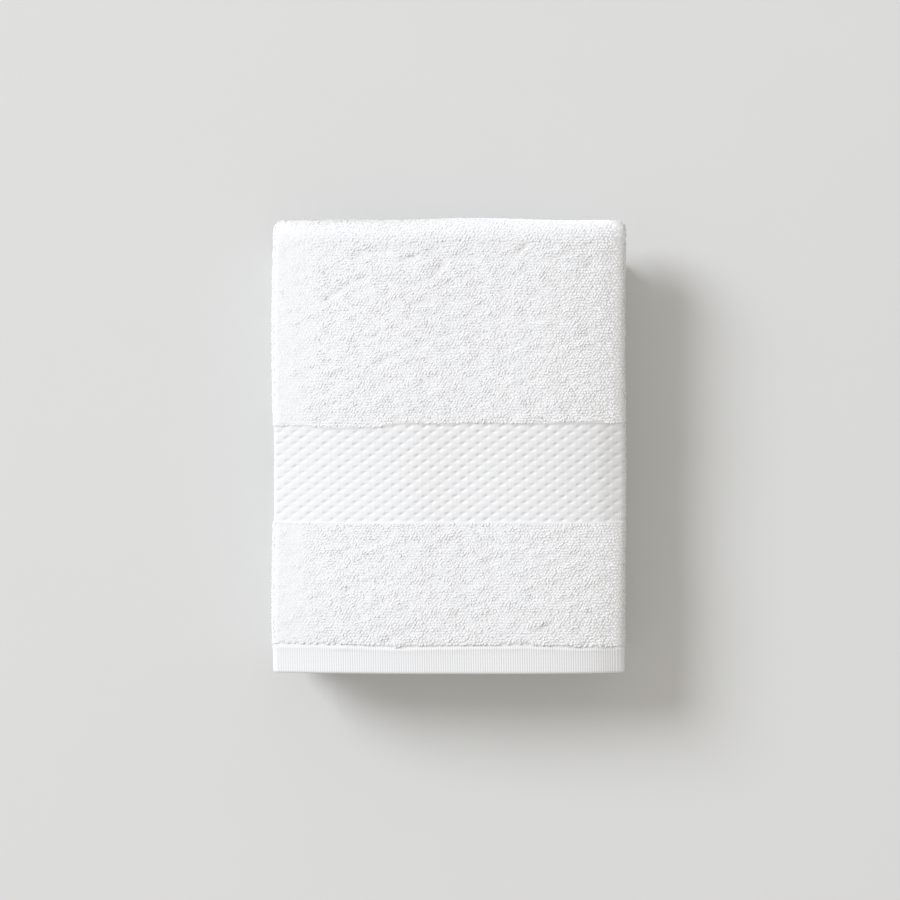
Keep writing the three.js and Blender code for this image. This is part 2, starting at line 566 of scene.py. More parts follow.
class Socket:
    """An output of a shader node, joined to Math nodes by Python's operators."""

    def __init__(self, board: "Board", socket: bpy.types.NodeSocket) -> None:
        """Wraps one output socket of a board."""
        self.board = board
        self.socket = socket

    def math(self, operation: str, first: Any, second: Any = 0.0) -> "Socket":
        """Adds one Math node.

        Args:
            operation: The node's operation.
            first: Its first value or link.
            second: Its second value or link.

        Returns:
            The node's output.
        """
        made = self.board.node("ShaderNodeMath", {"operation": operation}, {0: first, 1: second})
        return Socket(self.board, made.outputs[0])

    def __add__(self, other: Any) -> "Socket":
        """Sum."""
        return self.math("ADD", self, other)

    def __radd__(self, other: Any) -> "Socket":
        """Sum with a number on the left."""
        return self.math("ADD", other, self)

    def __sub__(self, other: Any) -> "Socket":
        """Difference."""
        return self.math("SUBTRACT", self, other)

    def __rsub__(self, other: Any) -> "Socket":
        """Difference from a number on the left."""
        return self.math("SUBTRACT", other, self)

    def __mul__(self, other: Any) -> "Socket":
        """Product."""
        return self.math("MULTIPLY", self, other)

    def __rmul__(self, other: Any) -> "Socket":
        """Product with a number on the left."""
        return self.math("MULTIPLY", other, self)

    def sine(self) -> "Socket":
        """Sine of an angle in radians."""
        return self.math("SINE", self)

    def absolute(self) -> "Socket":
        """Size without its sign."""
        return self.math("ABSOLUTE", self)

    def over(self, limit: float) -> "Socket":
        """1 where the value is greater than a limit, or else 0."""
        return self.math("GREATER_THAN", self, limit)


class Board:
    """The node tree of one material."""

    def __init__(self, name: str) -> None:
        """Starts an empty tree with an output and a shader."""
        self.material = bpy.data.materials.new(name)
        self.material.use_nodes = True
        self.tree = self.material.node_tree
        self.tree.nodes.clear()
        self.shader = self.node("ShaderNodeBsdfPrincipled")
        self.node("ShaderNodeOutputMaterial", None, {"Surface": Socket(self, self.shader.outputs[0])})

    def node(
        self, kind: str, settings: dict[str, Any] | None = None, sockets: dict[Any, Any] | None = None
    ) -> bpy.types.Node:
        """Adds a node.

        Args:
            kind: The node's type.
            settings: Its own settings, set first. "stops" are a ramp's places and colours.
            sockets: Values or links of its inputs, by name or number.

        Returns:
            The node.
        """
        made = self.tree.nodes.new(kind)
        for key, value in (settings or {}).items():
            if key == "stops":
                self.set_stops(made.color_ramp, value)
            else:
                setattr(made, key, value)
        for key, value in (sockets or {}).items():
            self.feed(made.inputs[key], value)
        return made

    def feed(self, socket: bpy.types.NodeSocket, value: Any) -> None:
        """Sets an input to a value, or links it.

        Args:
            socket: The input.
            value: A number, colour or vector, or a Socket to link.
        """
        if isinstance(value, Socket):
            self.tree.links.new(value.socket, socket)
        else:
            socket.default_value = value

    @staticmethod
    def set_stops(ramp: bpy.types.ColorRamp, stops: list[tuple[float, tuple[float, ...]]]) -> None:
        """Gives a ramp its stops.

        Args:
            ramp: The ramp.
            stops: Places and colours in order.
        """
        while len(ramp.elements) < len(stops):
            ramp.elements.new(1.0)
        for element, (place, colour) in zip(ramp.elements, stops):
            element.position = place
            element.color = colour

    def output(self, node: bpy.types.Node, name: str) -> Socket:
        """An output of a node, ready for arithmetic."""
        return Socket(self, node.outputs[name])

    def noise(self, vector: Socket, scale: float, detail: float) -> Socket:
        """A noise pattern.

        Args:
            vector: Coordinates that it reads.
            scale: Its scale.
            detail: Its levels of detail.

        Returns:
            Its value, from 0 to 1.
        """
        made = self.node("ShaderNodeTexNoise", None, {"Vector": vector, "Scale": scale, "Detail": detail})
        return self.output(made, "Fac")

    def tint(self, amount: Socket, low: tuple[float, ...], high: tuple[float, ...]) -> Socket:
        """A colour between two.

        Args:
            amount: 0 for the first colour, 1 for the second.
            low: The first colour.
            high: The second colour.

        Returns:
            The mixed colour.
        """
        made = self.node("ShaderNodeMix", {"data_type": "RGBA"}, {0: amount, 6: low, 7: high})
        return Socket(self, made.outputs[2])

    def bump(self, height: Socket, distance: float, strength: float) -> Socket:
        """Fine relief.

        Args:
            height: Its height, from 0 to 1.
            distance: How high 1 is, in metres.
            strength: How strongly it shows.

        Returns:
            The normal.
        """
        made = self.node(
            "ShaderNodeBump", None, {"Height": height, "Distance": distance, "Strength": strength}
        )
        return self.output(made, "Normal")

    def dress(self, sockets: dict[str, Any]) -> bpy.types.Material:
        """Sets the shader's inputs.

        Args:
            sockets: Values or links by name.

        Returns:
            The finished material.
        """
        for name, value in sockets.items():
            self.feed(self.shader.inputs[name], value)
        return self.material


MIDDLE = 0.5
COTTON_ROUGHNESS = 0.9
ROUGHNESS_SPREAD = 0.1
SHEEN_ROUGHNESS = 0.5


@dataclass(frozen=True)
class WovenCotton:
    """Bleached cotton ground: terry, dobby border and plain hem, told apart by place along the cloth."""

    fold: TowelFold
    light: tuple[float, float, float, float] = (0.85, 0.852, 0.864, 1)
    shade: tuple[float, float, float, float] = (0.807, 0.807, 0.815, 1)
    sheen: float = 0.12
    thread: float = 0.56 * MM
    rib: float = 1.0 * MM
    loop: float = 1.5 * MM
    relief: float = 0.25 * MM
    relief_strength: float = 0.8
    loop_height: float = 1.4
    fuzz_height: float = 0.6
    fuzz_fineness: float = 4
    woven_height: float = 0.35
    warp_height: float = 0.2
    rib_height: float = 0.45
    weft_height: float = 0.08
    mottle_scale: float = 40.0
    mottle_share: float = 0.55
    fuzz_share: float = 0.45

    def material(self) -> bpy.types.Material:
        """Builds the material on the cloth's own flat coordinates."""
        board = Board("woven_cotton")
        uv = board.node("ShaderNodeUVMap", {"uv_map": "flat"})
        parts = board.node("ShaderNodeSeparateXYZ", None, {0: board.output(uv, "UV")})
        across = board.output(parts, "X") * self.fold.flat_width
        along = board.output(parts, "Y") * self.fold.flat_length
        middle = self.fold.flat_length / 2
        from_end = middle - (along - middle).absolute()
        low, high = self.fold.border_span
        in_border = from_end.over(low) * (1 - from_end.over(high))
        in_hem = 1 - from_end.over(self.fold.stitch_from_end)
        in_pile = 1 - in_border - in_hem
        flat = board.node("ShaderNodeCombineXYZ", None, {"X": across, "Y": along})
        place = board.output(flat, "Vector")
        loops = board.noise(place, 1 / self.loop, 2.0)
        fuzz = board.noise(place, self.fuzz_fineness / self.loop, 3.0)
        warp = (across * (2 * math.pi / self.thread)).sine()
        weft = (along * (2 * math.pi / self.thread)).sine()
        ribs = (across * (2 * math.pi / self.rib)).sine()
        woven = MIDDLE + self.warp_height * warp + self.warp_height * weft * warp
        plain = MIDDLE + self.rib_height * ribs * loops + self.weft_height * weft
        terry = self.loop_height * loops + self.fuzz_height * fuzz
        height = in_pile * terry + in_border * (self.woven_height * woven) + in_hem * plain
        slow = board.noise(place, self.mottle_scale, 2.0)
        tone = self.mottle_share * slow + self.fuzz_share * fuzz
        return board.dress({
            "Base Color": board.tint(tone, self.shade, self.light),
            "Roughness": COTTON_ROUGHNESS + ROUGHNESS_SPREAD * fuzz,
            "Sheen Weight": self.sheen,
            "Sheen Roughness": SHEEN_ROUGHNESS,
            "Normal": board.bump(height, self.relief, self.relief_strength),
        })


@dataclass(frozen=True)
class LoopYarn:
    """Soft cotton yarn of the loops and stitches, a little lighter or darker from loop to loop."""

    name: str
    light: tuple[float, float, float, float] = (0.955, 0.957, 0.97, 1)
    shade: tuple[float, float, float, float] = (0.907, 0.908, 0.918, 1)
    sheen: float = 0.4
    fibre: float = 0.3 * MM
    relief: float = 0.05 * MM
    relief_strength: float = 0.5
    tone_share: float = 0.7
    fibre_share: float = 0.3

    def material(self) -> bpy.types.Material:
        """Builds the material on the loops' own tone and on object coordinates."""
        board = Board(self.name)
        tone = board.output(board.node("ShaderNodeAttribute", {"attribute_name": "tone"}), "Fac")
        place = board.output(board.node("ShaderNodeTexCoord"), "Object")
        fibres = board.noise(place, 1 / self.fibre, 2.0)
        mixed = self.tone_share * tone + self.fibre_share * fibres
        return board.dress({
            "Base Color": board.tint(mixed, self.shade, self.light),
            "Roughness": COTTON_ROUGHNESS + ROUGHNESS_SPREAD * fibres,
            "Sheen Weight": self.sheen,
            "Sheen Roughness": SHEEN_ROUGHNESS,
            "Normal": board.bump(fibres, self.relief, self.relief_strength),
        })


@dataclass(frozen=True)
class PaleFloor:
    """A plain pale floor with hardly any mottling."""

    light: tuple[float, float, float, float] = (0.693, 0.693, 0.681, 1)
    shade: tuple[float, float, float, float] = (0.684, 0.684, 0.672, 1)
    mottle_scale: float = 30.0
    roughness: float = 0.92
    roughness_spread: float = 0.06
    gloss: float = 0.2

    def material(self) -> bpy.types.Material:
        """Builds the material on object coordinates."""
        board = Board("pale_floor")
        place = board.output(board.node("ShaderNodeTexCoord"), "Object")
        mottle = board.noise(place, self.mottle_scale, 2.0)
        return board.dress({
            "Base Color": board.tint(mottle, self.shade, self.light),
            "Roughness": self.roughness + self.roughness_spread * mottle,
            "Specular IOR Level": self.gloss,
        })


# Cloth


@dataclass(frozen=True)
class Stretch:
    """A stretch of grid lines over the flat cloth: where it ends and how far apart its lines are."""

    end: float
    step: float


def grid_lines(stretches: list[Stretch]) -> Array:
    """Places of the lines of a graded grid.

    Args:
        stretches: The stretches in order, from 0.

    Returns:
        The places, from 0 to the last end.
    """
    lines = [0.0]
    for stretch in stretches:
        start = lines[-1]
        count = max(1, round((stretch.end - start) / stretch.step))
        lines += [start + (stretch.end - start) * (i + 1) / count for i in range(count)]
    return np.array(lines)


@dataclass
class TowelCloth:
    """The woven cloth: cut flat with its relief, then folded."""

    fold: TowelFold
    coarse: float = 9 * MM
    top_step: float = 3.0 * MM
    fine: float = 0.8 * MM
    rim: float = 1.1 * MM
    border_cuts: int = 7
    fold_rows: int = 14
    beside: float = 4 * MM
    edge_band: float = 1.5 * MM
    pile_root: float = 0.3 * MM
    pile_slope: float = 1.0 * MM
    groove_depth: float = 0.65 * MM
    groove_width: float = 0.65 * MM
    repeat_across: float = 6.6 * MM
    repeat_along: float = 5.0 * MM
    swell: float = 0.05 * MM
    pit_length: float = 1.25 * MM
    pit_width: float = 0.55 * MM
    pit_depth: float = 0.5 * MM
    pit_turn: float = math.radians(-17)
    ridge_height: float = 0.14 * MM
    ridge_width: float = 0.75 * MM
    ridge_back: float = 1.4 * MM
    ridge_even: float = 0.75
    ridge_uneven: float = 0.45
    ridge_noise: SoftNoise = SoftNoise(3, 5 * MM)
    ridge_stray: float = 0.25 * MM
    stray_noise: SoftNoise = SoftNoise(4, 7 * MM)
    pit_uneven: float = 0.2
    pit_noise: SoftNoise = SoftNoise(6, 6 * MM)
    least_rim: float = 0.04
    blank: float = 1.0 * MM
    piece: bpy.types.Object | None = field(default=None)

    def across_lines(self) -> Array:
        """Grid lines across the width, closest round the long folds and at the edges."""
        right, top, left, tuck = self.fold.section_marks
        width = self.fold.flat_width
        selvedge = self.fold.selvedge_width
        return grid_lines([
            Stretch(self.rim, self.rim / 3),
            Stretch(selvedge, selvedge / 3),
            Stretch(right - self.beside, self.coarse),
            Stretch(top, self.fine),
            Stretch(left, self.top_step),
            Stretch(tuck, self.fine),
            Stretch(width - selvedge, self.coarse),
            Stretch(width - self.rim, selvedge / 3),
            Stretch(width, self.rim / 3),
        ])

    def along_lines(self) -> Array:
        """Grid lines along the length, closest at the hems, the border's edges and the end folds."""
        low, high = self.fold.border_span
        hem = self.fold.hem_width
        slope = self.edge_band
        length = self.fold.flat_length
        marks = self.fold.run_marks
        runs = self.fold.runs
        rows = [
            Stretch(self.rim, self.rim / 3),
            Stretch(hem - slope, self.top_step / 2),
            Stretch(hem + self.beside, self.fine / 2),
            Stretch(low - slope, self.top_step),
            Stretch(low, self.fine / 2),
            Stretch(high, self.top_step),
            Stretch(high + slope, self.fine / 2),
            Stretch(runs[0].length, self.top_step),
        ]
        for i in (1, 2, 3):
            rows.append(Stretch(marks[i], self.fold.end_arc / self.fold_rows))
            if i < 3:
                rows.append(Stretch(marks[i] + runs[i].length, self.coarse))
        rows += [
            Stretch(length - high - slope, self.coarse),
            Stretch(length - high + slope, self.fine),
            Stretch(length - low - slope, self.coarse),
            Stretch(length - low + slope, self.fine),
            Stretch(length - hem - self.beside, self.coarse),
            Stretch(length - self.rim, 2 * self.fine),
            Stretch(length, self.rim / 3),
        ]
        return grid_lines(rows)

    def cut_flat(self) -> bmesh.types.BMesh:
        """Cuts the cloth flat, as a closed blank of even thickness with a finer border on the top face.

        Returns:
            The blank, with distances across and along the cloth as its X and Y.
        """
        across = self.across_lines()
        along = self.along_lines()
        blank = bmesh.new()
        bmesh.ops.create_grid(blank, x_segments=len(across) - 1, y_segments=len(along) - 1, size=0.5)
        for vert in blank.verts:
            column = round((vert.co.x + 0.5) * (len(across) - 1))
            row = round((vert.co.y + 0.5) * (len(along) - 1))
            vert.co = Vector((across[column], along[row], 0.0))
        bmesh.ops.solidify(blank, geom=blank.faces[:], thickness=self.blank)
        low = min(vert.co.z for vert in blank.verts)
        bmesh.ops.translate(blank, verts=blank.verts[:], vec=(0, 0, -low - self.blank / 2))
        self.refine_border(blank)
        return blank

    def refine_border(self, blank: bmesh.types.BMesh) -> None:
        """Divides the border's faces where it shows.

        Args:
            blank: The flat cloth.
        """
        low, high = self.fold.border_span
        _, top, left, _ = self.fold.section_marks
        shown = []
        for face in blank.faces:
            middle = face.calc_center_median()
            above = middle.z > self.blank / 4
            in_width = top - self.beside < middle.x < left + self.beside
            if above and low < middle.y < high and in_width:
                shown.append(face)
        edges = {edge for face in shown for edge in face.edges}
        bmesh.ops.subdivide_edges(blank, edges=list(edges), cuts=self.border_cuts, use_grid_fill=True)

    def pits(self, across: Array, along: Array) -> Array:
        """Short slanted pits of the weave, one in each repeat.

        Args:
            across: Distances across the cloth from a pit's middle.
            along: Distances along it from a pit's middle.

        Returns:
            Depth of the pits, from 0 to 1.
        """
        aside = ((across / self.repeat_across + 0.5) % 1 - 0.5) * self.repeat_across
        ahead = ((along / self.repeat_along + 0.5) % 1 - 0.5) * self.repeat_along
        lengthwise = aside * math.cos(self.pit_turn) + ahead * math.sin(self.pit_turn)
        widthwise = ahead * math.cos(self.pit_turn) - aside * math.sin(self.pit_turn)
        return np.exp(-((lengthwise / self.pit_length) ** 2) - (widthwise / self.pit_width) ** 2)

    def dobby(self, across: Array, along: Array) -> Array:
        """The dobby border's half-drop lattice of soft blocks with a pit beside each.

        Args:
            across: Distances across the flat cloth.
            along: Distances from the hemmed end.

        Returns:
            Height of the weave from the border's face.
        """
        blocks = np.cos(2 * math.pi * across / self.repeat_across)
        blocks = blocks * np.cos(2 * math.pi * along / self.repeat_along)
        quarter = (self.repeat_across / 4, self.repeat_along / 4)
        sunk = self.pits(across + quarter[0], along + quarter[1])
        sunk += self.pits(across - quarter[0], along - quarter[1])
        uneven = 1 + self.pit_uneven * self.pit_noise.at(across, along)
        return self.swell * blocks - self.pit_depth * uneven * sunk

    def face_heights(self, across: Array, along: Array, looped: bool) -> Array:
        """Half thickness of the cloth.

        Args:
            across: Distances across the flat cloth.
            along: Distances along it.
            looped: Whether separate loops stand on this face, which then lies at their roots.

        Returns:
            Distances from the middle of the cloth to its face.
        """
        fold = self.fold
        from_end = fold.from_nearer_end(along)
        low, high = fold.border_span
        x, _ = fold.in_strip(across, np.zeros_like(across))
        upper = high + BORDER_EDGE.at(x)
        lower = low + LOWER_EDGE.at(x)
        past_hem = np.clip((from_end - fold.hem_width) / self.pile_slope + 0.5, 0, 1)
        inside = np.clip((from_end - lower) / self.pile_slope, 0, 1)
        inside *= np.clip((upper - from_end) / self.pile_slope, 0, 1)
        pile = np.full_like(across, fold.pile / 2)
        if looped:
            pile -= self.pile_root * self.shown(across, along)
            pile += pile_relief(fold, across, along) * on_top(fold, across, along)
        height = fold.hem / 2 + (pile - fold.hem / 2) * past_hem
        from_stitch = (from_end - fold.stitch_from_end - STITCH_LINE.at(x)) / self.groove_width
        height -= self.groove_depth * np.exp(-(from_stitch**2))
        uneven = np.maximum(self.ridge_even + self.ridge_uneven * self.ridge_noise.at(across, along), 0)
        stray = self.ridge_stray * self.stray_noise.at(across, along)
        from_ridge = (from_stitch * self.groove_width + self.ridge_back + stray) / self.ridge_width
        height += self.ridge_height * uneven * np.exp(-(from_ridge**2))
        border = fold.border / 2 + self.dobby(across, from_end)
        height += (border - height) * inside
        edge = np.minimum(across, fold.flat_width - across)
        near_edge = 1 - np.clip((edge - fold.selvedge_width) / self.pile_slope, 0, 1)
        height += (np.minimum(height, fold.selvedge / 2) - height) * near_edge
        rim = np.minimum(np.minimum(edge, from_end) / self.rim, 1)
        return height * np.sqrt(np.maximum(1 - (1 - rim) ** 2, self.least_rim))

    def shown(self, across: Array, along: Array) -> Array:
        """1 on the parts of the face that carry separate loops, or else 0."""
        share = np.zeros_like(across)
        for patch in all_patches(self.fold):
            share = np.maximum(share, patch.holds(across, along))
        return share

    def build(self) -> bpy.types.Object:
        """Cuts, shapes and folds the cloth.

        Returns:
            The cloth's object.
        """
        blank = self.cut_flat()
        mesh = bpy.data.meshes.new("towel_cloth")
        blank.to_mesh(mesh)
        blank.free()
        flat = np.empty(len(mesh.vertices) * 3)
        mesh.vertices.foreach_get("co", flat)
        across, along, side = flat.reshape(-1, 3).T
        face = self.face_heights(across, along, looped=True)
        back = self.face_heights(across, along, looped=False)
        out = np.where(side > 0, face, -back)
        points = self.fold.place(across, along, out)
        mesh.vertices.foreach_set("co", points.ravel())
        corners = np.empty(len(mesh.loops), dtype=np.int32)
        mesh.loops.foreach_get("vertex_index", corners)
        uv = np.stack([across / self.fold.flat_width, along / self.fold.flat_length], axis=-1)
        mesh.uv_layers.new(name="flat").uv.foreach_set("vector", uv[corners].ravel())
        face_out(mesh)
        self.piece = add_piece("towel_cloth", mesh)
        return self.piece

    def dress(self) -> None:
        """Gives the cloth its finish."""
        self.piece.data.materials.append(WovenCotton(self.fold).material())


def face_out(mesh: bpy.types.Mesh) -> None:
    """Turns a closed mesh's faces outwards and shades it smooth.

    Args:
        mesh: The mesh.
    """
    shell = bmesh.new()
    shell.from_mesh(mesh)
    bmesh.ops.recalc_face_normals(shell, faces=shell.faces[:])
    if shell.calc_volume(signed=True) < 0:
        bmesh.ops.reverse_faces(shell, faces=shell.faces[:])
    shell.to_mesh(mesh)
    shell.free()
    mesh.shade_smooth()


def add_piece(name: str, mesh: bpy.types.Mesh) -> bpy.types.Object:
    """Adds a mesh to the scene as a piece of the towel.

    Args:
        name: The piece's name.
        mesh: Its mesh.

    Returns:
        The object, which rides on the towel's body.
    """
    piece = bpy.data.objects.new(name, mesh)
    bpy.context.scene.collection.objects.link(piece)
    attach(piece, BODY)
    return piece


# Loops


@dataclass(frozen=True)
class Patch:
    """A stretch of the flat cloth whose loops show: its ends across and along, and whether it is on top."""

    across: tuple[float, float]
    along: tuple[float, float]
    on_top: bool = False

    def holds(self, across: Array, along: Array) -> Array:
        """1 inside the patch, or else 0."""
        inside = (across >= self.across[0]) & (across <= self.across[1])
        return (inside & (along >= self.along[0]) & (along <= self.along[1])).astype(float)


class Side(Enum):
    """The pieces that the loops are joined into, by where they show."""

    TOP_BACK = "pile_top_back"
    TOP_MIDDLE = "pile_top_middle"
    TOP_FRONT = "pile_top_front"
    BACK = "pile_back"
    FRONT = "pile_front"
    LEFT = "pile_left"
    RIGHT = "pile_right"


PATCH_OVERLAP = 2.5 * MM
PATCH_UNDER = 12 * MM
PATCH_TURN_IN = 0.12


def patches(fold: TowelFold, side: Side) -> list[Patch]:
    """Parts of the flat cloth whose loops show on one side of the stack.

    Args:
        fold: The fold.
        side: The side.

    Returns:
        The patches.
    """
    right, top, left, tuck = (float(mark) for mark in fold.section_marks)
    marks = fold.run_marks
    runs = fold.runs
    low, high = fold.border_span
    spare = PATCH_OVERLAP
    under = PATCH_UNDER
    turn_in = fold.end_arc * PATCH_TURN_IN
    halfway = (high + runs[0].length) / 2
    hem = fold.hem_width
    length = fold.flat_length
    lengths = ((hem, low), (high, length - high), (length - low, length - hem))
    table = {
        Side.TOP_BACK: [Patch((top, left), (halfway, runs[0].length), True)],
        Side.TOP_MIDDLE: [Patch((top, left), (high - spare, halfway), True)],
        Side.TOP_FRONT: [Patch((top, left), (hem, low + spare), True)],
        Side.BACK: [
            Patch((top, left), (runs[0].length, marks[1] + under)),
            Patch((top, left), (marks[2] + runs[2].length - turn_in, marks[3] + turn_in)),
        ],
        Side.FRONT: [Patch((fold.selvedge_width, right), (marks[1] + runs[1].length, marks[2]))],
        Side.LEFT: [Patch((left, tuck), span) for span in lengths],
        Side.RIGHT: [Patch((right - spare, top), span) for span in lengths],
    }
    return table[side]


def all_patches(fold: TowelFold) -> list[Patch]:
    """The patches of every side."""
    return [patch for side in Side for patch in patches(fold, side)]


@dataclass(frozen=True)
class LoopShape:
    """One loop of pile yarn."""

    span: float = 1.05 * MM
    height: float = 0.4 * MM
    yarn: float = 0.95 * MM
    flatness: float = 0.75
    sides: int = 3
    steps: int = 3

    def template(self) -> tuple[Array, Array]:
        """Spins the yarn's section over in an arch and closes its ends.

        Returns:
            Its points and its triangles.
        """
        arch = bmesh.new()
        ring = bmesh.ops.create_circle(arch, cap_ends=False, segments=self.sides, radius=self.yarn / 2)
        outward = Matrix.Rotation(-math.pi / 2, 3, "Z")
        bmesh.ops.rotate(arch, verts=ring["verts"], cent=(0, 0, 0), matrix=outward)
        bmesh.ops.scale(arch, verts=ring["verts"], vec=(self.flatness, 1, 1))
        bmesh.ops.translate(arch, verts=ring["verts"], vec=(self.span / 2, 0, 0))
        bmesh.ops.spin(
            arch,
            geom=arch.verts[:] + arch.edges[:],
            cent=(0, 0, 0),
            axis=(0, 1, 0),
            angle=-math.pi,
            steps=self.steps,
        )
        rise = 2 * self.height / self.span
        bmesh.ops.scale(arch, verts=arch.verts[:], vec=(1, 1, rise))
        return closed_template(arch)


MERGE_DISTANCE = 1e-7


def closed_template(shape: bmesh.types.BMesh) -> tuple[Array, Array]:
    """Closes a small shape and reads it out, to be repeated.

    Args:
        shape: The shape, which is freed.

    Returns:
        Its points and its triangles.
    """
    bmesh.ops.remove_doubles(shape, verts=shape.verts[:], dist=MERGE_DISTANCE)
    open_edges = [edge for edge in shape.edges if edge.is_boundary]
    if open_edges:
        bmesh.ops.holes_fill(shape, edges=open_edges, sides=0)
    bmesh.ops.recalc_face_normals(shape, faces=shape.faces[:])
    bmesh.ops.triangulate(shape, faces=shape.faces[:])
    shape.verts.index_update()
    points = np.array([vert.co[:] for vert in shape.verts])
    triangles = np.array([[vert.index for vert in face.verts] for face in shape.faces])
    shape.free()
    return points, triangles


def joined_mesh(name: str, copies: Array, triangles: Array, tone: Array) -> bpy.types.Mesh:
    """Joins many copies of a small shape into one mesh.

    Args:
        name: The mesh's name.
        copies: Points of each copy.
        triangles: Triangles of one copy.
        tone: A tone for each copy, from 0 to 1.

    Returns:
        The mesh, with the tone as an attribute.
    """
    count, points, _ = copies.shape
    corners = (triangles[None] + (np.arange(count) * points)[:, None, None]).reshape(-1)
    mesh = bpy.data.meshes.new(name)
    mesh.vertices.add(count * points)
    mesh.vertices.foreach_set("co", copies.ravel())
    mesh.loops.add(len(corners))
    mesh.loops.foreach_set("vertex_index", corners.astype(np.int32))
    mesh.polygons.add(len(corners) // 3)
    mesh.polygons.foreach_set("loop_start", np.arange(0, len(corners), 3, dtype=np.int32))
    mesh.update(calc_edges=True)
    layer = mesh.attributes.new("tone", "FLOAT", "POINT")
    layer.data.foreach_set("value", np.repeat(tone, points))
    mesh.shade_smooth()
    return mesh


FACING_IN = -0.5
FACING_OUT = 0.5
SIDEWAYS_SHARE = 0.8


def soften(mesh: bpy.types.Mesh, out: Array, share: Array) -> None:
    """Shades a mesh as soft fibres, which scatter light between them, by turning its normals outwards.

    Normals that face sideways or into the cloth turn less, so that no face is shaded from behind.

    Args:
        mesh: The mesh.
        out: The direction out of the cloth at each vertex.
        share: How far the normals turn at each vertex, from 0 to 1.
    """
    normals = np.empty(len(mesh.vertices) * 3, dtype=np.float32)
    mesh.vertex_normals.foreach_get("vector", normals)
    normals = normals.reshape(-1, 3)
    facing = np.sum(normals * out, axis=1, keepdims=True)
    outward = np.clip((facing - FACING_IN) / (FACING_OUT - FACING_IN), 0, 1)
    share = share * (SIDEWAYS_SHARE + (1 - SIDEWAYS_SHARE) * outward)
    turned = unit((1 - share) * normals + share * out)
    mesh.normals_split_custom_set_from_vertices(turned.tolist())


def unit(vectors: Array) -> Array:
    """Vectors brought to length 1."""
    return vectors / np.linalg.norm(vectors, axis=-1, keepdims=True)


@dataclass(frozen=True)
class Frames:
    """Places on the folded cloth: points, and directions back across, along and out of the face."""

    point: Array
    across: Array
    along: Array
    out: Array


FRAME_STEP = 0.04 * MM


def frames_at(fold: TowelFold, across: Array, along: Array, out: Array) -> Frames:
    """Frames of places on the folded cloth.

    Args:
        fold: The fold.
        across: Distances across the flat cloth.
        along: Distances along it.
        out: Distances out of its face.

    Returns:
        The frames.
    """
    step = FRAME_STEP
    point = fold.place(across, along, out)
    ahead = unit(fold.place(across, along + step, out) - fold.place(across, along - step, out))
    aside = unit(fold.place(across - step, along, out) - fold.place(across + step, along, out))
    normal = unit(fold.place(across, along, out + step) - point)
    return Frames(point, aside, ahead, normal)


